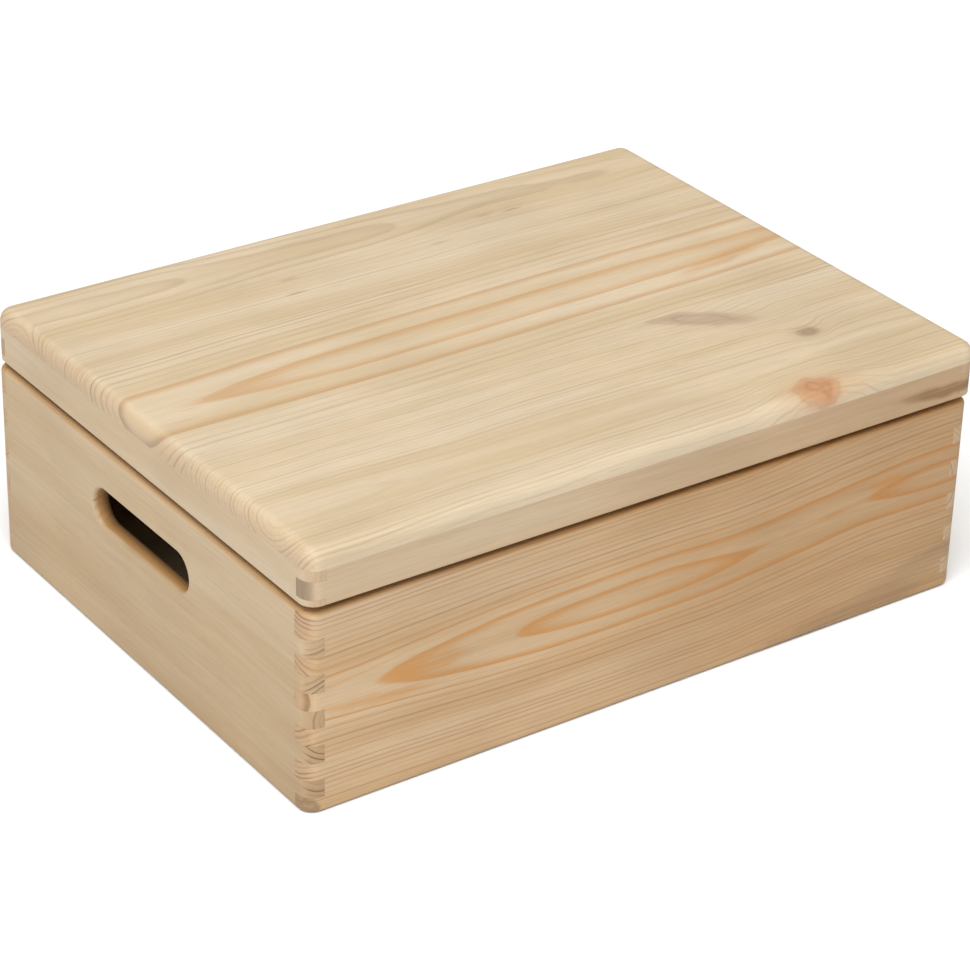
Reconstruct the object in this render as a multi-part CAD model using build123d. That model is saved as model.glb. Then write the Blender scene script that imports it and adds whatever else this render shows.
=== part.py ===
from build123d import *
from math import cos, radians, sin
import os

# A pine toy box with a hinged lid: four boards finger-jointed at the corners, a plywood bottom in a
# rebate, a hand slot in each end, and a lid made of a finger-jointed frame under three glued staves.
# Millimetres, +Z up, +X along the front. The front is at -Y and the hinges are at +Y.

# Body
BOX_LENGTH = 400.0
BOX_DEPTH = 300.0
BODY_HEIGHT = 109.0
WALL = 10.0
FINGER_COUNT = 11
FINGER_HEIGHT = 9.6
BOTTOM_FINGER_HEIGHT = 8.8
CORNER_RADIUS = 8.0
BODY_TOP_RADIUS = 3.0
BODY_BOTTOM_RADIUS = 3.0

# Bottom panel, nailed up into a rebate
REBATE_WIDTH = 4.5
PANEL_THICKNESS = 4.0
PANEL_RECESS = 1.0
PANEL_CORNER_RADIUS = 6.0
PANEL_PLAY = 0.25
NAIL_RADIUS = 0.7
NAIL_HEAD_RADIUS = 1.4
NAIL_HEAD_THICKNESS = 0.6
NAIL_LENGTH = 14.0
NAILS_PER_LONG_SIDE = 5
NAILS_PER_SHORT_SIDE = 3

# Hand slots
SLOT_LENGTH = 92.0
SLOT_HEIGHT = 21.0
SLOT_CENTRE_Y = 3.0
SLOT_CENTRE_Z = 75.0
SLOT_EDGE_RADIUS = 2.5

# Lid
LID_GAP = 4.0
LID_HEIGHT = 29.0
LID_FORWARD = 1.5
LID_TOP_RADIUS = 7.0
LID_BOTTOM_RADIUS = 1.0
STAVE_THICKNESS = 10.0
STAVE_WIDTHS = {"front": 109.0, "middle": 98.0, "back": 93.0}
RAIL_FINGER_HEIGHTS = (3.8, 9.6, 5.6)

# Stop hinges, their leaves screwed flat between the back board and the back rail
HINGE_SPACING = 240.0
HINGE_WIDTH = 36.0
LEAF_THICKNESS = 1.4
LEAF_REACH = 11.5
KNUCKLE_COUNT = 5
KNUCKLE_RADIUS = 2.1
KNUCKLE_GAP = 0.3
PIN_RADIUS = 1.0
PIN_PLAY = 0.05
AXIS_BEHIND_BODY = 1.7
STOP_RADIUS = 4.2
STOP_WIDTH_DEG = 24.0
STOP_START_DEG = 100.0
OPEN_DEG = 110.0
STOP_CLEARANCE_DEG = 4.0

# Countersunk hinge screws
SCREW_SPACING = 22.0
SCREW_FROM_AXIS = 7.0
SCREW_RADIUS = 1.2
SCREW_HEAD_RADIUS = 2.1
SCREW_LENGTH = 12.0
SCREW_TIP = 2.0
HEAD_PLAY = 0.05
HOLE_PLAY = 0.03
CROSS_WIDTH = 0.5
CROSS_LENGTH = 2.2
CROSS_DEPTH = 0.7

# Worked out from the sizes above
MIDDLE_FINGERS = FINGER_COUNT - 2
TOP_FINGER_HEIGHT = BODY_HEIGHT - BOTTOM_FINGER_HEIGHT - MIDDLE_FINGERS * FINGER_HEIGHT
BODY_FINGER_HEIGHTS = (BOTTOM_FINGER_HEIGHT, *[FINGER_HEIGHT] * MIDDLE_FINGERS, TOP_FINGER_HEIGHT)
REBATE_DEPTH = PANEL_RECESS + PANEL_THICKNESS
LID_BOTTOM = BODY_HEIGHT + LID_GAP
LID_TOP = LID_BOTTOM + LID_HEIGHT
STAVE_BOTTOM = LID_TOP - STAVE_THICKNESS
AXIS_Y = BOX_DEPTH / 2 + AXIS_BEHIND_BODY
AXIS_Z = BODY_HEIGHT + LID_GAP / 2
BODY_LEAF_TOP = BODY_HEIGHT + LEAF_THICKNESS
LID_LEAF_BOTTOM = LID_BOTTOM - LEAF_THICKNESS
STOP_END_DEG = STOP_START_DEG + STOP_WIDTH_DEG
BACK_MOST = AXIS_Y - STOP_RADIUS * cos(radians(STOP_END_DEG))
FRONT_MOST = -BOX_DEPTH / 2 - LID_FORWARD
CENTRING = -(BACK_MOST + FRONT_MOST) / 2
HINGE_X = {"left": -HINGE_SPACING / 2, "right": HINGE_SPACING / 2}


def block(x0, x1, y0, y1, z0, z1):
    """A plain box between two corners."""
    size = Box(x1 - x0, y1 - y0, z1 - z0, align=(Align.MIN, Align.MIN, Align.MIN))
    return Pos(x0, y0, z0) * size


def rounded_envelope(z0, z1, centre_y, top_radius, bottom_radius):
    """The outer shape of the body or the lid, with its rounded corners and edges."""
    half_x, half_y = BOX_LENGTH / 2, BOX_DEPTH / 2
    solid = block(-half_x, half_x, centre_y - half_y, centre_y + half_y, z0, z1)
    solid = fillet(solid.edges().filter_by(Axis.Z), CORNER_RADIUS)
    solid = fillet(solid.faces().sort_by(Axis.Z)[-1].outer_wire().edges(), top_radius)
    return fillet(solid.faces().sort_by(Axis.Z)[0].outer_wire().edges(), bottom_radius)


def finger_bounds(heights, z0):
    """The bottom and top of each finger, from the lowest up."""
    bounds = []
    for height in heights:
        bounds.append((z0, z0 + height))
        z0 += height
    return bounds


def long_board(side, centre_y, z0, z1, own_fingers):
    """A front or back board: side is -1 or +1, and its own fingers fill the corners."""
    outer = centre_y + side * BOX_DEPTH / 2
    y0, y1 = sorted((outer, outer - side * WALL))
    half_x = BOX_LENGTH / 2
    board = block(WALL - half_x, half_x - WALL, y0, y1, z0, z1)
    for low, high in own_fingers:
        board += block(-half_x, half_x, y0, y1, low, high)
    return board


def end_board(side, centre_y, z0, z1, own_fingers):
    """A left or right board: side is -1 or +1."""
    outer = side * BOX_LENGTH / 2
    x0, x1 = sorted((outer, outer - side * WALL))
    half_y = BOX_DEPTH / 2
    board = block(x0, x1, centre_y - half_y + WALL, centre_y + half_y - WALL, z0, z1)
    for low, high in own_fingers:
        board += block(x0, x1, centre_y - half_y, centre_y + half_y, low, high)
    return board


def panel_outline(margin, z0, z1):
    """A rounded sheet over the rebate, margin smaller all round."""
    length = BOX_LENGTH - 2 * (WALL - REBATE_WIDTH + margin)
    depth = BOX_DEPTH - 2 * (WALL - REBATE_WIDTH + margin)
    outline = RectangleRounded(length, depth, PANEL_CORNER_RADIUS - margin)
    return Pos(0, 0, z0) * extrude(outline, z1 - z0)


def nail_places():
    """Where the bottom's nails stand, halfway across the rebate."""
    x = BOX_LENGTH / 2 - WALL + REBATE_WIDTH / 2
    y = BOX_DEPTH / 2 - WALL + REBATE_WIDTH / 2
    places = []
    for number in range(NAILS_PER_LONG_SIDE):
        along = x * (2 * (number + 0.5) / NAILS_PER_LONG_SIDE - 1)
        places += [(along, -y), (along, y)]
    for number in range(NAILS_PER_SHORT_SIDE):
        along = y * (2 * (number + 0.5) / NAILS_PER_SHORT_SIDE - 1)
        places += [(-x, along), (x, along)]
    return places


def make_nail(x, y, play=0.0):
    """A flat-headed nail, driven up with its head flush under the bottom panel, or its hole."""
    low = (Align.CENTER, Align.CENTER, Align.MIN)
    head = Cylinder(NAIL_HEAD_RADIUS + play, NAIL_HEAD_THICKNESS + play, align=low)
    shank = Cylinder(NAIL_RADIUS + play, NAIL_LENGTH + play, align=low)
    return Pos(x, y, PANEL_RECESS) * (head + shank)


def cut_hand_slot(board, side):
    """A stadium-shaped slot through an end board, its edges rounded on both faces."""
    middle = side * (BOX_LENGTH - WALL) / 2
    profile = Plane((middle, SLOT_CENTRE_Y, SLOT_CENTRE_Z), x_dir=(0, 1, 0), z_dir=(1, 0, 0))
    cutter = extrude(profile * SlotOverall(SLOT_LENGTH, SLOT_HEIGHT), WALL, both=True)
    board -= cutter
    mouths = board.edges().filter_by(
        lambda edge: abs(edge.center().Y - SLOT_CENTRE_Y) < SLOT_LENGTH / 2 + 1
        and abs(edge.center().Z - SLOT_CENTRE_Z) < SLOT_HEIGHT / 2 + 1
        and abs(abs(edge.center().X - middle) - WALL / 2) < 0.01
    )
    return fillet(mouths, SLOT_EDGE_RADIUS)


def screw_places(side):
    """Where one hinge's two screws stand."""
    x, y = HINGE_X[side], AXIS_Y - SCREW_FROM_AXIS
    return [(x - SCREW_SPACING / 2, y), (x + SCREW_SPACING / 2, y)]


def make_screw(x, y, face_z, into):
    """A countersunk screw with a cross recess: into is -1 for down into the body, +1 for up."""
    head = Pos(0, 0, -LEAF_THICKNESS / 2) * Cone(SCREW_RADIUS, SCREW_HEAD_RADIUS, LEAF_THICKNESS)
    shank_length = SCREW_LENGTH - LEAF_THICKNESS - SCREW_TIP
    shank = Pos(0, 0, -LEAF_THICKNESS - shank_length / 2) * Cylinder(SCREW_RADIUS, shank_length)
    tip = Pos(0, 0, -SCREW_LENGTH + SCREW_TIP / 2) * Cone(SCREW_RADIUS / 4, SCREW_RADIUS, SCREW_TIP)
    screw = head + shank + tip
    for turn in (0, 90):
        screw -= Rot(0, 0, turn) * Box(CROSS_LENGTH, CROSS_WIDTH, 2 * CROSS_DEPTH)
    flip = Rot(180, 0, 0) if into > 0 else Rot(0, 0, 0)
    return Pos(x, y, face_z) * flip * screw


def screw_hole(x, y, face_z, into):
    """The hole in the wood that a screw fills."""
    z0, z1 = sorted((face_z, face_z + into * (SCREW_LENGTH + HOLE_PLAY)))
    return Pos(x, y, (z0 + z1) / 2) * Cylinder(SCREW_RADIUS + HOLE_PLAY, z1 - z0)


def hinge_cylinder(radius, x0, x1):
    """A cylinder about the hinge axis, from x0 to x1."""
    return Pos((x0 + x1) / 2, AXIS_Y, AXIS_Z) * Rot(0, 90, 0) * Cylinder(radius, x1 - x0)


def knuckle_spans(side, first):
    """Each knuckle of one leaf along X: the leaves take turns, and first is 0 or 1."""
    pitch = HINGE_WIDTH / KNUCKLE_COUNT
    left = HINGE_X[side] - HINGE_WIDTH / 2
    spans = []
    for number in range(first, KNUCKLE_COUNT, 2):
        start = left + number * pitch + (KNUCKLE_GAP / 2 if number else 0)
        last = number == KNUCKLE_COUNT - 1
        spans.append((start, left + (number + 1) * pitch - (0 if last else KNUCKLE_GAP / 2)))
    return spans


def around_axis(radius, degrees):
    """A point in the YZ plane about the hinge axis: 0 points at the front, 90 points up."""
    angle = radians(degrees)
    return (AXIS_Y - radius * cos(angle), AXIS_Z + radius * sin(angle))


def stop_rib(x0, x1, inner_radius, start_deg):
    """A wedge behind the knuckles that meets the other leaf's wedge when the lid is open."""
    end_deg = start_deg + STOP_WIDTH_DEG
    corners = []
    for radius, degrees in (
        (inner_radius, start_deg),
        (STOP_RADIUS, start_deg),
        (STOP_RADIUS, end_deg),
        (inner_radius, end_deg),
    ):
        corners.append(around_axis(radius, degrees))
    profile = Plane((x0, 0, 0), x_dir=(0, 1, 0), z_dir=(1, 0, 0))
    return extrude(profile * Polygon(*corners, align=None), x1 - x0, dir=(1, 0, 0))


def make_leaf(side, first, plate_z, stop_deg):
    """One leaf of a hinge: plate, knuckles, stop wedge and countersunk holes."""
    x0, x1 = HINGE_X[side] - HINGE_WIDTH / 2, HINGE_X[side] + HINGE_WIDTH / 2
    z0, z1 = plate_z
    leaf = block(x0, x1, AXIS_Y - LEAF_REACH, AXIS_Y, z0, z1)
    clear_radius = KNUCKLE_RADIUS + KNUCKLE_GAP
    leaf += stop_rib(x0, x1, clear_radius, stop_deg)
    for start, end in knuckle_spans(side, 1 - first):
        leaf -= hinge_cylinder(clear_radius, start - KNUCKLE_GAP, end + KNUCKLE_GAP)
    for start, end in knuckle_spans(side, first):
        leaf += hinge_cylinder(KNUCKLE_RADIUS, start, end)
        leaf += stop_rib(start, end, PIN_RADIUS + LEAF_THICKNESS / 2, stop_deg)
    leaf -= hinge_cylinder(PIN_RADIUS + PIN_PLAY, x0 - 1, x1 + 1)
    return leaf


def cut_countersinks(leaf, side, face_z, into):
    """Opens the two countersunk screw holes of a leaf whose free face is at face_z."""
    flip = Rot(180, 0, 0) if into > 0 else Rot(0, 0, 0)
    for x, y in screw_places(side):
        cone = Cone(SCREW_RADIUS + HEAD_PLAY, SCREW_HEAD_RADIUS + HEAD_PLAY, LEAF_THICKNESS)
        leaf -= Pos(x, y, face_z) * flip * Pos(0, 0, -LEAF_THICKNESS / 2) * cone
    return leaf


def make_body():
    """The four boards and the bottom."""
    envelope = rounded_envelope(0, BODY_HEIGHT, 0, BODY_TOP_RADIUS, BODY_BOTTOM_RADIUS)
    fingers = finger_bounds(BODY_FINGER_HEIGHTS, 0)
    boards = {}
    for name, side in (("front_board", -1), ("back_board", 1)):
        boards[name] = long_board(side, 0, 0, BODY_HEIGHT, fingers[0::2])
    for name, side in (("left_end_board", -1), ("right_end_board", 1)):
        boards[name] = end_board(side, 0, 0, BODY_HEIGHT, fingers[1::2])
    rebate = panel_outline(0, 0, REBATE_DEPTH)
    nails = [make_nail(x, y) for x, y in nail_places()]
    nail_holes = [make_nail(x, y, HOLE_PLAY) for x, y in nail_places()]
    for name in boards:
        boards[name] = (boards[name] & envelope) - rebate
        boards[name] -= nail_holes
    for name, side in (("left_end_board", -1), ("right_end_board", 1)):
        boards[name] = cut_hand_slot(boards[name], side)
    for side in HINGE_X:
        for x, y in screw_places(side):
            boards["back_board"] -= screw_hole(x, y, BODY_LEAF_TOP, -1)
    boards["bottom_panel"] = panel_outline(PANEL_PLAY, PANEL_RECESS, REBATE_DEPTH) - nail_holes
    boards["bottom_panel_nails"] = Compound(children=nails)
    return boards


def make_lid():
    """The frame of four rails and the three staves glued on it."""
    centre_y = -LID_FORWARD
    envelope = rounded_envelope(LID_BOTTOM, LID_TOP, centre_y, LID_TOP_RADIUS, LID_BOTTOM_RADIUS)
    fingers = finger_bounds(RAIL_FINGER_HEIGHTS, LID_BOTTOM)
    rails = {}
    for name, side in (("lid_front_rail", -1), ("lid_back_rail", 1)):
        rails[name] = long_board(side, centre_y, LID_BOTTOM, STAVE_BOTTOM, fingers[1::2])
    for name, side in (("lid_left_rail", -1), ("lid_right_rail", 1)):
        rails[name] = end_board(side, centre_y, LID_BOTTOM, STAVE_BOTTOM, fingers[0::2])
    half = BOX_LENGTH / 2
    y0 = centre_y - BOX_DEPTH / 2
    for name, width in STAVE_WIDTHS.items():
        rails[f"lid_top_{name}_stave"] = block(-half, half, y0, y0 + width, STAVE_BOTTOM, LID_TOP)
        y0 += width
    for name in rails:
        rails[name] = rails[name] & envelope
    for side in HINGE_X:
        for x, y in screw_places(side):
            rails["lid_back_rail"] -= screw_hole(x, y, LID_LEAF_BOTTOM, 1)
    return rails


def make_hinges():
    """Two stop hinges: a leaf on the body, a leaf on the lid, a pin and four screws each."""
    body_plate = (BODY_HEIGHT, BODY_LEAF_TOP)
    lid_plate = (LID_LEAF_BOTTOM, LID_BOTTOM)
    body_stop_deg = STOP_END_DEG + OPEN_DEG + STOP_CLEARANCE_DEG
    pieces = {}
    for side, x in HINGE_X.items():
        body_leaf = make_leaf(side, 0, body_plate, body_stop_deg)
        lid_leaf = make_leaf(side, 1, lid_plate, STOP_START_DEG)
        pieces[f"{side}_hinge_body_leaf"] = cut_countersinks(body_leaf, side, BODY_LEAF_TOP, -1)
        pieces[f"{side}_hinge_lid_leaf"] = cut_countersinks(lid_leaf, side, LID_LEAF_BOTTOM, 1)
        half = HINGE_WIDTH / 2
        pieces[f"{side}_hinge_pin"] = hinge_cylinder(PIN_RADIUS, x - half, x + half)
        down = [make_screw(sx, sy, BODY_LEAF_TOP, -1) for sx, sy in screw_places(side)]
        up = [make_screw(sx, sy, LID_LEAF_BOTTOM, 1) for sx, sy in screw_places(side)]
        pieces[f"{side}_hinge_body_screws"] = Compound(children=down)
        pieces[f"{side}_hinge_lid_screws"] = Compound(children=up)
    return pieces


def main():
    """Writes each piece, with the whole object's box centred over the origin."""
    os.makedirs("parts", exist_ok=True)
    pieces = {**make_body(), **make_lid(), **make_hinges()}
    for name, piece in pieces.items():
        export_step(Pos(0, CENTRING, 0) * piece, f"parts/{name}.step")
    print("origin is", round(-CENTRING, 4), "mm behind the body's centre")
    print("hinge axis at y", round(AXIS_Y + CENTRING, 4), "z", round(AXIS_Z, 4))


main()
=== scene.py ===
import math

import bpy
from mathutils import Matrix, Vector


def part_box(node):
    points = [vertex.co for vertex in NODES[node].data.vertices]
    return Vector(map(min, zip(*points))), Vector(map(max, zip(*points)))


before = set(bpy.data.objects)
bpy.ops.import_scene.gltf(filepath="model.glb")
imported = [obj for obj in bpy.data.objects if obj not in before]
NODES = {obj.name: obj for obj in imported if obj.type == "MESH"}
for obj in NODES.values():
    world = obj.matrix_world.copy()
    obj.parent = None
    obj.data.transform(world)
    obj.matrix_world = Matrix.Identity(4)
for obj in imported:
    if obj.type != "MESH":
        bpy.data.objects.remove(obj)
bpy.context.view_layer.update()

# The pine toy box's looks: solid wood with real growth rings for every board, brass hinges, steel
# screws and nails, a pale studio and a three-quarter view from above the near left corner.
# Wood is laid out in millimetres in the object's own frame, so a board's ends, edges and faces agree.

MM = 1000.0

# Places read from the frame, in millimetres
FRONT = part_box("front_board")[0].y * MM
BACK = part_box("back_board")[1].y * MM
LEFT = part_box("left_end_board")[0].x * MM
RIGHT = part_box("right_end_board")[1].x * MM
BODY_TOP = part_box("front_board")[1].z * MM
WALL = (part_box("left_end_board")[1].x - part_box("left_end_board")[0].x) * MM
LID_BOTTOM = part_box("lid_front_rail")[0].z * MM
LID_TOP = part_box("lid_top_front_stave")[1].z * MM
LID_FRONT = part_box("lid_front_rail")[0].y * MM
LID_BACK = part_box("lid_back_rail")[1].y * MM
MIDDLE_Y = (FRONT + BACK) / 2
LID_MIDDLE_Y = (LID_FRONT + LID_BACK) / 2

# The fingers, and the heights where they change hands at the body's and the rails' corners
BODY_FINGERS = 11
RAIL_FINGERS = 3
FINGER = 9.6
LOWEST_BODY_FINGER = 8.8
LOWEST_RAIL_FINGER = 3.8
BODY_EDGES = [LOWEST_BODY_FINGER + FINGER * number for number in range(BODY_FINGERS - 1)]
RAIL_EDGES = [LID_BOTTOM + LOWEST_RAIL_FINGER + FINGER * number for number in range(RAIL_FINGERS - 1)]

# The hand slots: half their length and height, and where their middle is
SLOT_HALF_LENGTH = 46
SLOT_HALF_HEIGHT = 10.5
SLOT_MIDDLE_Y = MIDDLE_Y + 3
SLOT_MIDDLE_Z = 75

# Colour of the slots' sawn walls, the sawn wood's amber with painted shade that deepens inside: how
# far past a wall they fade out, then for the amber and the dark painted shade how deep from the outer
# face it starts, how deep it is full, and its strength
SLOT_FADE = (0.4, 1.8)
SLOT_AMBER_AND_SHADE = (0.4, 4.0, 0.8)
SLOT_PAINTED_SHADE = (3.0, 9.0, 0.8)

# Noise that runs with the grain: its scale per millimetre along and across the grain, and a shift
# that keeps it apart from the others
TRUNK_DRIFT = (0.009, 0.0, 0.0)
RING_WAVES = (0.006, 0.030, 5.0)
RING_RIPPLES = (0.05, 0.25, 9.0)
FLAMES = (0.005, 0.06, 21.0)
FIBRES = (0.030, 1.1, 33.0)
FINE_FIBRES = (0.12, 4.2, 41.0)
RESIN_PORES = (0.060, 0.9, 63.0)
STREAKS = (0.012, 0.40, 71.0)
SEED_STEP = 17.3

# How far a surface turns towards the grain's end, as the part of its normal along the grain, when it
# starts to show end grain and when it shows nothing else
END_GRAIN = (0.30, 0.90)

# Late wood within a year, as shares of the year's width: where it rises and where it ends
LATE_RISE = (0.35, 0.90)
LATE_END = (0.92, 1.0)
LATE_SHARPNESS = 2.4

# Painted amber shade along the body's boards' upper edge, under the lid's gap: down from the top, and
# its strength
PAINTED_GAP_SHADE = (2.4, 0.4, 0.50)

# Glue lines round the fingers: from full to nothing at these distances, their strength, and how far
# they reach past the corner's inner edge
GLUE_LINE = (0.10, 0.24, 0.30)
GLUE_MARGIN = 0.15

# Pine's colours, as linear light: early wood pale and deep, then the late wood of each year
TOP_WOOD = ((0.620, 0.500, 0.350, 1), (0.560, 0.425, 0.265, 1), (0.400, 0.280, 0.160, 1))
FRONT_WOOD = ((0.545, 0.390, 0.240, 1), (0.485, 0.315, 0.162, 1), (0.320, 0.155, 0.060, 1))
END_WOOD = ((0.545, 0.420, 0.275, 1), (0.495, 0.357, 0.210, 1), (0.350, 0.230, 0.120, 1))
RAIL_WOOD = ((0.560, 0.435, 0.295, 1), (0.520, 0.380, 0.235, 1), (0.400, 0.280, 0.160, 1))
PLY_WOOD = ((0.600, 0.480, 0.330, 1), (0.540, 0.410, 0.260, 1), (0.420, 0.300, 0.180, 1))
HEART = (0.490, 0.215, 0.040, 1)
END_LATE = (0.180, 0.100, 0.055, 1)
RED_KNOT = (0.500, 0.245, 0.115, 1)
BROWN_KNOT = (0.270, 0.180, 0.100, 1)
PINK_KNOT = (0.380, 0.260, 0.180, 1)
STAIN = (0.260, 0.165, 0.085, 1)
RESIN = (0.230, 0.120, 0.045, 1)
DARK = (0.100, 0.050, 0.025, 1)
# Painted shade: the deep amber of shaded wood in the lid's gap; in the hand slots it is also the sawn
# wood's own colour
SHADED_AMBER = (0.460, 0.215, 0.055, 1)

# Metals, clean and tarnished
BRASS = ((0.78, 0.53, 0.20, 1), (0.52, 0.33, 0.12, 1))
STEEL = ((0.60, 0.59, 0.57, 1), (0.40, 0.39, 0.38, 1))
ZINC = ((0.66, 0.66, 0.64, 1), (0.45, 0.44, 0.40, 1))

# The studio: places and sizes in metres, energies in Blender's units
SKY_COLOUR = (1.0, 0.97, 0.92, 1)
SKY_STRENGTH = 0.40
SUN_ENERGY = 2.35
SUN_SPREAD_DEG = 50
SUN_PLACE = (-0.40, -0.48, 1.5)
SOFTBOX_ENERGY = 7
SOFTBOX_SIZE = 0.9
SOFTBOX_COLOUR = (0.84, 0.93, 1.0)
SOFTBOX_PLACE = (-0.75, -0.60, 1.05)
SOFTBOX_AIM = (-0.1, 0, 0.1)
PAPER = ((0.93, 0.93, 0.93, 1), (0.91, 0.91, 0.91, 1))
FLOOR_SIZE = 30

# The camera, which looks at a point above the body's middle from this distance and is then moved
# sideways and up: degrees and metres, with the lens and its sensor in millimetres
AZIMUTH, ELEVATION, ROLL = -35.47, 29.00, 1.54
TARGET_HEIGHT = 0.070
DISTANCE = 1.7377
ASIDE, RAISED = 0.0025, -0.0197
LENS, SENSOR = 124.5, 36


# ---------------------------------------------------------------- node helpers


class Graph:
    """Builds a material's nodes with short calls: any argument is a socket or a plain value."""

    def __init__(self, name):
        self.material = bpy.data.materials.new(name)
        self.material.use_nodes = True
        self.tree = self.material.node_tree
        self.tree.nodes.clear()

    def node(self, kind, **settings):
        """A new node, with its settings."""
        made = self.tree.nodes.new(kind)
        for key, value in settings.items():
            setattr(made, key, value)
        return made

    def feed(self, socket, value):
        """Links a socket to an input, or sets the input's value."""
        if isinstance(value, bpy.types.NodeSocket):
            self.tree.links.new(value, socket)
        else:
            socket.default_value = value

    def math(self, operation, *values, clamp=False):
        """A sum, product or other operation on numbers."""
        made = self.node("ShaderNodeMath", operation=operation, use_clamp=clamp)
        for socket, value in zip(made.inputs, values):
            self.feed(socket, value)
        return made.outputs[0]

    def vector(self, operation, *values, output=0):
        """An operation on vectors: output 1 is its number, such as a length."""
        made = self.node("ShaderNodeVectorMath", operation=operation)
        for socket, value in zip(made.inputs, values):
            self.feed(socket, value)
        return made.outputs[output]

    def millimetres(self, coordinates):
        """The place in the object's own frame, in millimetres."""
        place = self.vector("SCALE", coordinates.outputs["Object"])
        place.node.inputs["Scale"].default_value = MM
        return place

    def combine(self, x, y, z):
        """A vector from three numbers."""
        made = self.node("ShaderNodeCombineXYZ")
        for socket, value in zip(made.inputs, (x, y, z)):
            self.feed(socket, value)
        return made.outputs[0]

    def noise(self, place, scale=1.0, detail=2.0, rough=0.5, colour=False):
        """Noise round 0.5: one number, or three as a colour."""
        made = self.node("ShaderNodeTexNoise")
        self.feed(made.inputs["Vector"], place)
        made.inputs["Scale"].default_value = scale
        made.inputs["Detail"].default_value = detail
        made.inputs["Roughness"].default_value = rough
        return made.outputs[1 if colour else 0]

    def smooth(self, value, low, high, to_low=0.0, to_high=1.0):
        """An S-curve from one value to another while the input goes from low to high."""
        made = self.node("ShaderNodeMapRange", interpolation_type="SMOOTHSTEP")
        for socket, given in zip(made.inputs, (value, low, high, to_low, to_high)):
            self.feed(socket, given)
        return made.outputs[0]

    def mix(self, factor, first, second, blend="MIX"):
        """Two colours mixed, or the first multiplied by the second."""
        made = self.node("ShaderNodeMix", data_type="RGBA", blend_type=blend)
        self.feed(made.inputs[0], factor)
        self.feed(made.inputs[6], first)
        self.feed(made.inputs[7], second)
        return made.outputs[2]

    def finish(self, colour, roughness, height=None, bump=0.30, distance=0.00012, **constants):
        """The shader itself: constants go straight on its sockets. distance is in metres."""
        shader = self.node("ShaderNodeBsdfPrincipled")
        self.feed(shader.inputs["Base Color"], colour)
        self.feed(shader.inputs["Roughness"], roughness)
        for name, value in constants.items():
            shader.inputs[name.replace("_", " ")].default_value = value
        if height is not None:
            made = self.node("ShaderNodeBump")
            made.inputs["Strength"].default_value = bump
            made.inputs["Distance"].default_value = distance
            self.feed(made.inputs["Height"], height)
            self.tree.links.new(made.outputs[0], shader.inputs["Normal"])
        output = self.node("ShaderNodeOutputMaterial")
        self.tree.links.new(shader.outputs[0], output.inputs[0])
        return self.material


# ---------------------------------------------------------------- pine


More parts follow.
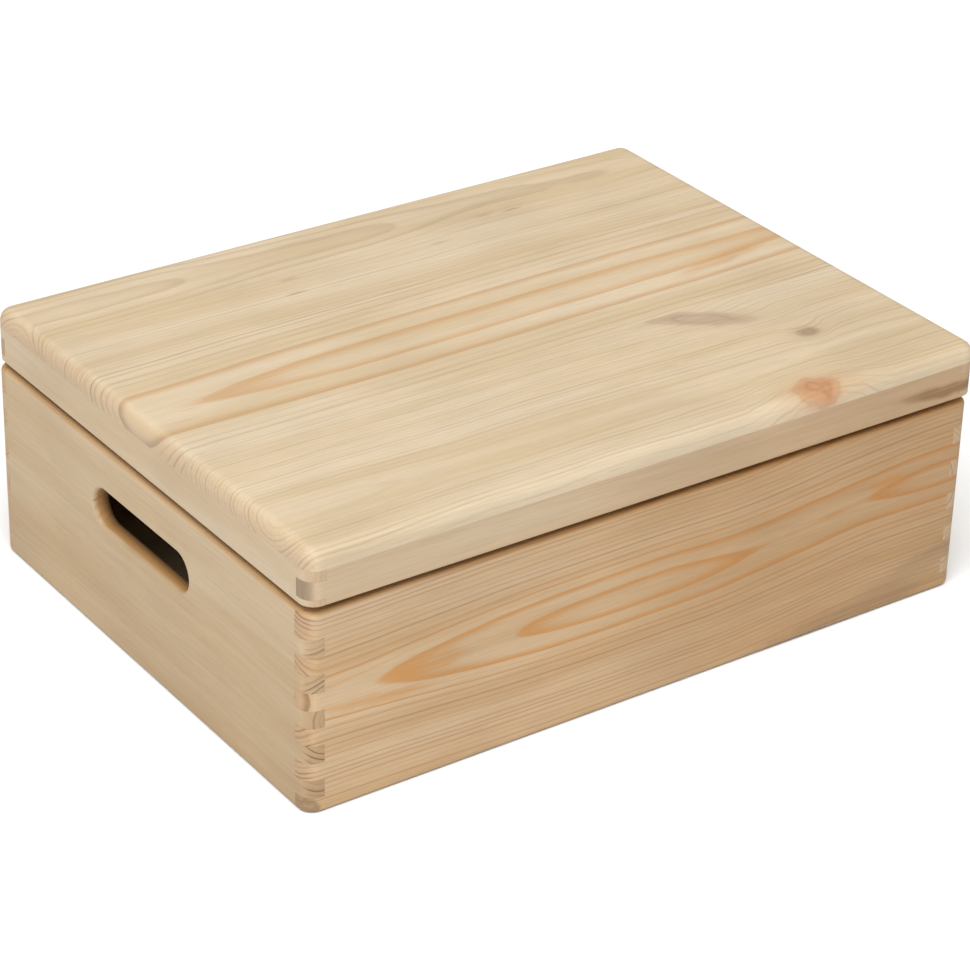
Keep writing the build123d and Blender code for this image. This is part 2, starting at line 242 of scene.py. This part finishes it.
class Pine(Graph):
    """One pine board. grain is "X" or "Y". The pith is the tree's centre line: where it crosses the
    board's middle, across and up, in millimetres, and how far it leans per millimetre along. Each
    bend of the pith is a direction, 0 across or 1 up, where it starts and ends along the board, and
    how far it goes. pitch is a year's width, and core the radius and the year's width inside it."""

    def __init__(self, name, grain, pith, lean=(0.0, 0.0), pitch=4.0, core=(0.0, 1.0), seed=0.0,
                 wander=4.0, bends=()):
        super().__init__(name)
        coordinates = self.node("ShaderNodeTexCoord")
        split = self.node("ShaderNodeSeparateXYZ")
        self.place = self.millimetres(coordinates)
        self.tree.links.new(self.place, split.inputs[0])
        self.x, self.y, self.z = split.outputs
        self.along, self.across = (self.x, self.y) if grain == "X" else (self.y, self.x)
        facing = self.node("ShaderNodeSeparateXYZ")
        self.tree.links.new(coordinates.outputs["Normal"], facing.inputs[0])
        tilt = facing.outputs[0 if grain == "X" else 1]
        self.end = self.smooth(self.math("ABSOLUTE", tilt), *END_GRAIN)
        self.seed, self.pitch, self.core = seed, pitch, core
        self.radius = self.ring_radius(pith, lean, wander, bends)
        self.marks_and_shade = []
        self.painted_falloffs = []

    def stretched(self, scales):
        """A place for noise that runs with the grain, different for each board."""
        along, across, shift = scales
        shift += self.seed * SEED_STEP
        return self.combine(
            self.math("MULTIPLY_ADD", self.along, along, shift),
            self.math("MULTIPLY_ADD", self.across, across, shift * 0.7),
            self.math("MULTIPLY_ADD", self.z, across, shift * 1.3),
        )

    def ring_radius(self, pith, lean, wander, bends):
        """Distance from the pith, with the slow wander of a real trunk and small ripples."""
        drift = self.node("ShaderNodeSeparateXYZ")
        drifts = self.noise(self.stretched(TRUNK_DRIFT), colour=True, detail=1.5)
        self.tree.links.new(drifts, drift.inputs[0])
        lines = []
        for centre, slope, shift in zip(pith, lean, drift.outputs):
            moved = self.math("MULTIPLY_ADD", shift, 2 * wander, centre - wander)
            lines.append(self.math("MULTIPLY_ADD", self.along, slope, moved))
        for direction, start, end, change in bends:
            bend = self.smooth(self.along, start, end, 0.0, change)
            lines[direction] = self.math("ADD", lines[direction], bend)
        across = self.math("SUBTRACT", self.across, lines[0])
        up = self.math("SUBTRACT", self.z, lines[1])
        radius = self.vector("LENGTH", self.combine(across, up, 0.0), output=1)
        wave = self.noise(self.stretched(RING_WAVES))
        ripple = self.noise(self.stretched(RING_RIPPLES), detail=1.0)
        radius = self.math("ADD", radius, self.math("MULTIPLY_ADD", wave, wander, -wander / 2))
        return self.math("ADD", radius, self.math("MULTIPLY_ADD", ripple, 0.5, -0.25))

    def inside(self, centre, half_sizes, turn):
        """How far out of an ellipsoid a point is: 1 on its surface. Millimetres and degrees."""
        mapping = self.node("ShaderNodeMapping", vector_type="TEXTURE")
        wobble = self.vector("SUBTRACT", self.noise(self.place, 0.10, 1.0, colour=True), (0.5,) * 3)
        wobble = self.vector("MULTIPLY", wobble, (min(half_sizes) * 0.8,) * 3)
        self.feed(mapping.inputs["Vector"], self.vector("ADD", self.place, wobble))
        mapping.inputs["Location"].default_value = centre
        mapping.inputs["Rotation"].default_value = [math.radians(angle) for angle in turn]
        mapping.inputs["Scale"].default_value = half_sizes
        return self.vector("LENGTH", mapping.outputs[0], output=1)

    def knot(self, centre, half_sizes, colour, strength, turn=(0.0, 0.0, 0.0), swirl=5.0):
        """A knot: darker wood with its own rings, and the board's rings flowing round it."""
        distance = self.inside(centre, half_sizes, turn)
        spread = self.smooth(distance, 0.6, 3.2, 1.0, 0.0)
        self.radius = self.math("ADD", self.radius, self.math("MULTIPLY", spread, swirl))
        own = self.math("SINE", self.math("MULTIPLY", distance, 15.0))
        mask = self.smooth(distance, 0.60, 1.25, strength, 0.0)
        ringed = self.math("MULTIPLY", mask, self.smooth(own, 0.0, 1.0, 0.0, 0.20))
        halo = self.smooth(distance, 0.9, 2.2, 0.25 * strength, 0.0)
        self.marks_and_shade += [(halo, colour), (mask, colour), (ringed, DARK)]

    def stain(self, centre, half_sizes, colour, strength, turn=(0.0, 0.0, 0.0), edge=0.45):
        """A patch of darker streaks along the grain: edge near 1 gives it a crisp outline."""
        distance = self.inside(centre, half_sizes, turn)
        streaks = self.noise(self.stretched(STREAKS))
        mask = self.math("MULTIPLY", self.smooth(distance, edge, 1.15, strength, 0.0),
                         self.smooth(streaks, 0.34, 0.60, 0.25 + 0.5 * edge, 1.0))
        self.marks_and_shade.append((mask, colour))

    def paint_falloff(self, direction, start, end, tone):
        """Painted shade that grows across the board, where the light falls off, up to a tone that
        multiplies it.
        """
        value = {"x": self.x, "y": self.y, "z": self.z}[direction]
        self.painted_falloffs.append((self.smooth(value, start, end), tone))

    def paint_gap_shade(self):
        """Painted amber shade on a body board's upper edge, where the lid's gap shades it."""
        start, full, strength = PAINTED_GAP_SHADE
        mask = self.smooth(self.z, BODY_TOP - start, BODY_TOP - full, 0.0, strength)
        self.marks_and_shade.append((mask, SHADED_AMBER))

    def sawn_slot_and_shade(self, outer):
        """The hand slot's walls: amber sawn wood, with painted shade that deepens from its rounded
        mouth to the inside.
        """
        along = self.math("ABSOLUTE", self.math("SUBTRACT", self.y, SLOT_MIDDLE_Y))
        above = self.math("ABSOLUTE", self.math("SUBTRACT", self.z, SLOT_MIDDLE_Z))
        straight = SLOT_HALF_LENGTH - SLOT_HALF_HEIGHT
        past = self.math("MAXIMUM", self.math("SUBTRACT", along, straight), 0.0)
        distance = self.vector("LENGTH", self.combine(past, above, 0.0), output=1)
        depth = self.math("ABSOLUTE", self.math("SUBTRACT", self.x, outer))
        full, gone = SLOT_FADE
        cut = self.smooth(distance, SLOT_HALF_HEIGHT + full, SLOT_HALF_HEIGHT + gone, 1.0, 0.0)
        # painted shade: the amber and the dark deepen into the slot, where less light reaches
        for (start, end, strength), tint in ((SLOT_AMBER_AND_SHADE, SHADED_AMBER), (SLOT_PAINTED_SHADE, DARK)):
            mask = self.math("MULTIPLY", cut, self.smooth(depth, start, end, 0.0, strength))
            self.marks_and_shade.append((mask, tint))

    def rings(self):
        """0 in pale early wood, 1 in the thin dark late wood at each year's end."""
        core, core_pitch = self.core
        inner = self.math("DIVIDE", self.math("MINIMUM", self.radius, core), core_pitch)
        outside = self.math("MAXIMUM", self.math("SUBTRACT", self.radius, core), 0.0)
        outer = self.math("DIVIDE", outside, self.pitch)
        widths = self.noise(self.combine(self.math("MULTIPLY", outer, 0.45), self.seed, 0.0))
        uneven = self.math("MULTIPLY", self.smooth(outer, 0.0, 2.0, 0.0, 2.0),
                           self.math("SUBTRACT", widths, 0.5))
        year = self.math("ADD", self.math("ADD", inner, outer), uneven)
        within = self.math("FRACT", year)
        rise = self.smooth(within, *LATE_RISE)
        fall = self.smooth(within, *LATE_END, 1.0, 0.0)
        late = self.math("MULTIPLY", self.math("POWER", rise, LATE_SHARPNESS), fall)
        chance = self.node("ShaderNodeTexWhiteNoise", noise_dimensions="1D")
        number = self.math("ADD", self.math("FLOOR", year), self.seed * 3.1)
        self.tree.links.new(number, chance.inputs["W"])
        return self.math("MULTIPLY", late, self.smooth(chance.outputs[0], 0.1, 1.0, 0.25, 1.0))

    def joint_lines(self, heights, centre_y):
        """Thin dark glue lines round each finger: heights are where the fingers change hands."""
        inner_x = RIGHT - WALL - GLUE_MARGIN
        inner_y = (BACK - FRONT) / 2 - WALL - GLUE_MARGIN
        by_x = self.math("ABSOLUTE", self.x)
        by_y = self.math("ABSOLUTE", self.math("SUBTRACT", self.y, centre_y))
        corner = self.math("MULTIPLY", self.math("GREATER_THAN", by_x, inner_x),
                           self.math("GREATER_THAN", by_y, inner_y))
        nearest = LID_TOP
        for height in heights:
            gap = self.math("ABSOLUTE", self.math("SUBTRACT", self.z, height))
            nearest = self.math("MINIMUM", nearest, gap)
        full, gone, strength = GLUE_LINE
        wobble = self.math("MULTIPLY", self.noise(self.place, 0.9), 0.16)
        line = self.smooth(self.math("ADD", nearest, wobble), full, gone, strength, 0.0)
        return self.math("MULTIPLY", line, corner)

    def face_colour(self, wood, late, contrast, heart):
        """Flamed early wood in two tones, then the late wood of each year and fine resin pores."""
        pale, deep, dark = wood
        boldness = contrast
        if heart:
            reach, strength = heart
            boldness = self.smooth(self.radius, reach, 2 * reach, strength, contrast)
            dark = self.mix(self.smooth(self.radius, reach, 1.6 * reach), HEART, dark)
        flames = self.smooth(self.noise(self.stretched(FLAMES), detail=3.0), 0.30, 0.70)
        pores = self.smooth(self.noise(self.stretched(RESIN_PORES), detail=0.0), 0.80, 0.90, 0.0, 0.35)
        colour = self.mix(flames, pale, deep)
        colour = self.mix(self.math("MULTIPLY", late, boldness, clamp=True), colour, dark)
        return self.mix(pores, colour, dark)

    def end_colour(self, wood, late, tone, contrast):
        """End grain: a little darker and greyer than the faces, with thin dark arcs and pores."""
        pale, deep, _ = wood
        pores = self.smooth(self.noise(self.place, 2.2, 2.0, 0.7), 0.35, 0.75, 0.0, 0.12)
        shade = (tone, tone * 0.93, tone * 0.88, 1)
        colour = self.mix(1.0, self.mix(0.4, pale, deep), shade, "MULTIPLY")
        colour = self.mix(self.math("MULTIPLY", late, contrast), colour, END_LATE)
        return self.mix(pores, colour, END_LATE)

    def marked_with_shade(self, colour):
        """Lays the painted shade falloffs and then the marks and painted shade over a colour, in the
        order they were asked for.
        """
        for mask, tone in self.painted_falloffs:
            colour = self.mix(mask, colour, self.mix(1.0, colour, (*tone, 1), "MULTIPLY"))
        for mask, tint in self.marks_and_shade:
            colour = self.mix(mask, colour, tint)
        return colour

    def shaded(self, colour, fibre, fine):
        """Fibres and slow blotches that lighten and darken the wood a little."""
        blotch = self.noise(self.place, 0.012)
        shade = self.smooth(fibre, 0.30, 0.72, 1.04, 0.935)
        shade = self.math("MULTIPLY", shade, self.smooth(fine, 0.3, 0.7, 1.02, 0.97))
        shade = self.math("MULTIPLY", shade, self.smooth(blotch, 0.3, 0.7, 1.03, 0.96))
        return self.mix(1.0, colour, self.combine(shade, shade, shade), "MULTIPLY")

    def build(self, wood, contrast, heart=None, lines=None, end_tone=0.86, end_contrast=0.8):
        """Puts the board together. wood is its pale, deep and late colours. heart is the radius
        within which the late wood is orange, and the strength of its colour there."""
        late = self.rings()
        fibre = self.noise(self.stretched(FIBRES), detail=3.0, rough=0.65)
        fine = self.noise(self.stretched(FINE_FIBRES), detail=1.0)
        face = self.face_colour(wood, late, contrast, heart)
        end = self.end_colour(wood, late, end_tone, end_contrast)
        colour = self.shaded(self.marked_with_shade(self.mix(self.end, face, end)), fibre, fine)
        if lines is not None:
            colour = self.mix(lines, colour, DARK)
        height = self.math("ADD", self.math("MULTIPLY", late, 0.5), self.math("MULTIPLY", fibre, 0.6))
        height = self.math("ADD", height, self.math("MULTIPLY", fine, 0.35))
        roughness = self.smooth(self.math("ADD", late, fibre), 0.3, 1.6, 0.62, 0.46)
        return self.finish(colour, roughness, height, Specular_IOR_Level=0.35)


def dress(material, *names):
    """Gives one material to CAD nodes."""
    for name in names:
        slots = NODES[name].data.materials
        slots.clear()
        slots.append(material)


def dress_wall(name, board, wood, contrast, **looks):
    """Gives a wall of the body its wood, painted amber shade along its upper edge under the lid, and
    the glue lines round its fingers.
    """
    # painted shade: the amber of shaded wood in the gap under the lid
    board.paint_gap_shade()
    lines = board.joint_lines(BODY_EDGES, MIDDLE_Y)
    dress(board.build(wood, contrast, lines=lines, **looks), name)


def front_board():
    """The pith runs just behind its face and comes nearest at the middle: hence its long arches."""
    board = Pine("pine_front_board", "X", (FRONT + 17.5, 62), pitch=2.6, core=(16.0, 8.0), seed=1,
                 wander=1.2, bends=((0, -200, -5, -14.5), (0, -5, 75, 4.5), (0, 130, 185, -4.5),
                                    (1, 30, 170, 9.0)))
    board.stain((120, FRONT, 3), (80, 12, 9), STAIN, 0.65, (0, -6, 0))
    board.stain((185, FRONT, 22), (55, 12, 8), STAIN, 0.55, (0, -10, 0))
    board.stain((LEFT, FRONT + 5, 4), (7, 13, 7), STAIN, 0.85, edge=0.8)
    board.stain((-131, FRONT, 62), (24, 8, 5.5), HEART, 0.60)
    board.stain((-160, FRONT, 53), (34, 8, 4), HEART, 0.40, (0, 6, 0))
    board.stain((147, FRONT, 76), (15, 8, 4), HEART, 0.60)
    # painted shade: the front board darkens towards its right end, where the light falls off
    board.paint_falloff("x", -180, 200, (0.86, 0.79, 0.70))
    dress_wall("front_board", board, FRONT_WOOD, 0.55, heart=(18.0, 0.95), end_tone=0.92,
               end_contrast=0.9)


def back_board():
    """A quieter board, cut further from the pith."""
    board = Pine("pine_back_board", "X", (BACK - 22, 38), (0.01, -0.02), 3.2, seed=2)
    dress_wall("back_board", board, FRONT_WOOD, 0.45, end_tone=0.98, end_contrast=0.5)


def end_boards():
    """The two ends with their sawn hand slots and painted shade inside them; the left one has painted
    shade low and forward.
    """
    left = Pine("pine_left_end_board", "Y", (LEFT + 14, 48), (0, -0.02), 3.2, seed=3, wander=5)
    # painted shade inside the hand slot, over the sawn wood's amber
    left.sawn_slot_and_shade(LEFT)
    # painted shade: the left end darkens towards its bottom and its front, where the light falls off
    left.paint_falloff("z", 100, 0, (0.86, 0.81, 0.74))
    left.paint_falloff("y", 0, -170, (0.93, 0.90, 0.86))
    dress_wall("left_end_board", left, END_WOOD, 0.24, end_tone=0.95, end_contrast=0.9)
    right = Pine("pine_right_end_board", "Y", (RIGHT - 26, 70), (0.01, 0.03), 3.2, seed=4)
    # painted shade inside the hand slot, over the sawn wood's amber
    right.sawn_slot_and_shade(RIGHT)
    dress_wall("right_end_board", right, END_WOOD, 0.35, end_tone=0.95, end_contrast=0.7)


def lid_rails():
    """The frame under the lid's top, with a resin streak near the front rail's right end."""
    front = Pine("pine_lid_front_rail", "X", (LID_FRONT + 40, 118), pitch=3.5, seed=5)
    front.stain((182, LID_FRONT, 120), (36, 8, 4), RESIN, 0.85, (0, 3, 0))
    # painted shade: the front rail darkens towards its right end, where the light falls off
    front.paint_falloff("x", -180, 200, (0.82, 0.72, 0.62))
    back = Pine("pine_lid_back_rail", "X", (LID_BACK - 35, 130), pitch=3.2, seed=6)
    left = Pine("pine_lid_left_rail", "Y", (LEFT + 70, 120), pitch=3.2, seed=7)
    right = Pine("pine_lid_right_rail", "Y", (RIGHT - 30, 128), pitch=3.2, seed=8)
    rails = (("lid_front_rail", front, 0.55), ("lid_back_rail", back, 0.75),
             ("lid_left_rail", left, 0.95), ("lid_right_rail", right, 0.90))
    for name, rail, end_tone in rails:
        lines = rail.joint_lines(RAIL_EDGES, LID_MIDDLE_Y)
        dress(rail.build(RAIL_WOOD, 0.20, None, lines, end_tone, 0.3), name)


def front_stave():
    """The stave with the three knots and a small dark streak."""
    stave = Pine("pine_front_stave", "X", (LID_FRONT + 36, LID_TOP + 14), (0, 0.02), 2.6, seed=9)
    stave.knot((97, -57, LID_TOP - 1), (29, 8, 6), PINK_KNOT, 0.60, (0, 0, -30), 4.0)
    stave.knot((134, -97, LID_TOP - 2), (6.5, 5, 14), BROWN_KNOT, 0.60)
    stave.knot((99, LID_FRONT + 7, LID_TOP - 4), (16, 9, 9), RED_KNOT, 0.85, (25, 0, 0), 8.0)
    stave.stain((47, -91, LID_TOP), (10, 2.5, 4), BROWN_KNOT, 0.35, edge=0.2)
    dress(stave.build(TOP_WOOD, 0.45, end_tone=0.93, end_contrast=0.40), "lid_top_front_stave")


def middle_stave():
    """Cut close under the pith, so that its wide first years make long arches."""
    stave = Pine("pine_middle_stave", "X", (3.5, LID_TOP + 13.9), (0.018, 0), 5.0, (27.0, 13.5), 10,
                 wander=1.5, bends=((1, -190, -60, -7.5), (1, 90, 200, 4.0)))
    stave.stain((150, -6, LID_TOP), (38, 5, 4), HEART, 0.40, (0, 0, 8))
    dress(stave.build(TOP_WOOD, 0.75, (20, 0.75), end_tone=0.93, end_contrast=0.60),
          "lid_top_middle_stave")


def back_stave():
    """A plain stave with a few dark flecks."""
    stave = Pine("pine_back_stave", "X", (LID_BACK - 26, LID_TOP - 26), (0, -0.02), 3.0, seed=11)
    for x, y in ((75, 107), (92, 105), (35, 90), (-62, 78), (-57, 94)):
        stave.stain((x, y, LID_TOP), (8, 1.6, 3), BROWN_KNOT, 0.45, edge=0.2)
    dress(stave.build(TOP_WOOD, 0.40, end_tone=0.93, end_contrast=0.40), "lid_top_back_stave")


def plywood():
    """The bottom panel: peeled birch, with wide pale waves instead of rings."""
    sheet = Pine("birch_plywood", "X", (MIDDLE_Y + 300, -260), (0.02, 0.02), 26.0, seed=12, wander=40)
    dress(sheet.build(PLY_WOOD, 0.22), "bottom_panel")


# ---------------------------------------------------------------- metal


def metal(name, colours, rough, grain):
    """Rolled or plated metal: slow tarnish from a light to a dark colour, and fine scratches. grain
    is the scratches' scale along X, Y and Z, per millimetre."""
    light, dark = colours
    graph = Graph(name)
    place = graph.millimetres(graph.node("ShaderNodeTexCoord"))
    tarnish = graph.noise(place, 0.35, 4.0, 0.6)
    scratches = graph.noise(graph.vector("MULTIPLY", place, grain), 1.0, 3.0, 0.7)
    colour = graph.mix(graph.smooth(tarnish, 0.35, 0.68), light, dark)
    roughness = graph.math("ADD", graph.smooth(tarnish, 0.3, 0.7, rough, rough + 0.14),
                           graph.smooth(scratches, 0.3, 0.7, -0.05, 0.07))
    return graph.finish(colour, roughness, scratches, bump=0.25, distance=0.00003, Metallic=1.0)


def metals():
    """Brass leaves, steel pins and zinc-plated screws and nails."""
    brass = metal("rolled_brass", BRASS, 0.26, (0.3, 6, 6))
    steel = metal("drawn_steel", STEEL, 0.28, (0.3, 5, 5))
    zinc = metal("zinc_plate", ZINC, 0.34, (3, 3, 3))
    for side in ("left", "right"):
        dress(brass, f"{side}_hinge_body_leaf", f"{side}_hinge_lid_leaf")
        dress(steel, f"{side}_hinge_pin")
        dress(zinc, f"{side}_hinge_body_screws", f"{side}_hinge_lid_screws")
    dress(zinc, "bottom_panel_nails")


# ---------------------------------------------------------------- studio


def floor():
    """A wide pale floor with a faint unevenness, so that it isn't one flat colour."""
    bpy.ops.mesh.primitive_grid_add(x_subdivisions=8, y_subdivisions=8, size=FLOOR_SIZE)
    plane = bpy.context.object
    plane.name = "studio_floor"
    graph = Graph("studio_paper")
    place = graph.node("ShaderNodeTexCoord")
    cloud = graph.noise(place.outputs["Object"], 3.0, 3.0)
    colour = graph.mix(graph.smooth(cloud, 0.3, 0.7), *PAPER)
    plane.data.materials.append(graph.finish(colour, 0.9))


def hang(light, place, aim):
    """Puts a light in the scene, shining from one point towards another."""
    holder = bpy.data.objects.new(light.name, light)
    bpy.context.scene.collection.objects.link(holder)
    holder.location = place
    holder.rotation_euler = (Vector(aim) - holder.location).to_track_quat("-Z", "Y").to_euler()


def studio():
    """A white surround, one wide soft light from high on the left and a softbox near the left end."""
    world = bpy.data.worlds.new("studio")
    bpy.context.scene.world = world
    world.use_nodes = True
    background = world.node_tree.nodes["Background"]
    background.inputs["Color"].default_value = SKY_COLOUR
    background.inputs["Strength"].default_value = SKY_STRENGTH
    sun = bpy.data.lights.new("overhead", "SUN")
    sun.energy = SUN_ENERGY
    sun.angle = math.radians(SUN_SPREAD_DEG)
    hang(sun, SUN_PLACE, (0, 0, 0))
    softbox = bpy.data.lights.new("softbox", "AREA")
    softbox.size = SOFTBOX_SIZE
    softbox.energy = SOFTBOX_ENERGY
    softbox.color = SOFTBOX_COLOUR
    hang(softbox, SOFTBOX_PLACE, SOFTBOX_AIM)
    bpy.context.scene.view_settings.view_transform = "Standard"


def camera():
    """The three-quarter view from above the near left corner."""
    azimuth, elevation, roll = (math.radians(angle) for angle in (AZIMUTH, ELEVATION, ROLL))
    back = Vector((math.sin(azimuth) * math.cos(elevation),
                   -math.cos(azimuth) * math.cos(elevation), math.sin(elevation)))
    level = Vector((math.cos(azimuth), math.sin(azimuth), 0))
    upright = back.cross(level)
    right = level * math.cos(roll) + upright * math.sin(roll)
    up = upright * math.cos(roll) - level * math.sin(roll)
    target = Vector((0, MIDDLE_Y / MM, TARGET_HEIGHT))
    place = target + back * DISTANCE + right * ASIDE + up * RAISED
    turn = Matrix((right, up, back)).transposed().to_4x4()
    data = bpy.data.cameras.new("camera")
    data.sensor_width = SENSOR
    data.lens = LENS
    data.clip_end = 2 * FLOOR_SIZE
    holder = bpy.data.objects.new("camera", data)
    bpy.context.scene.collection.objects.link(holder)
    holder.matrix_world = Matrix.Translation(place) @ turn
    bpy.context.scene.camera = holder


camera()
floor()
studio()
front_board()
back_board()
end_boards()
lid_rails()
front_stave()
middle_stave()
back_stave()
plywood()
metals()
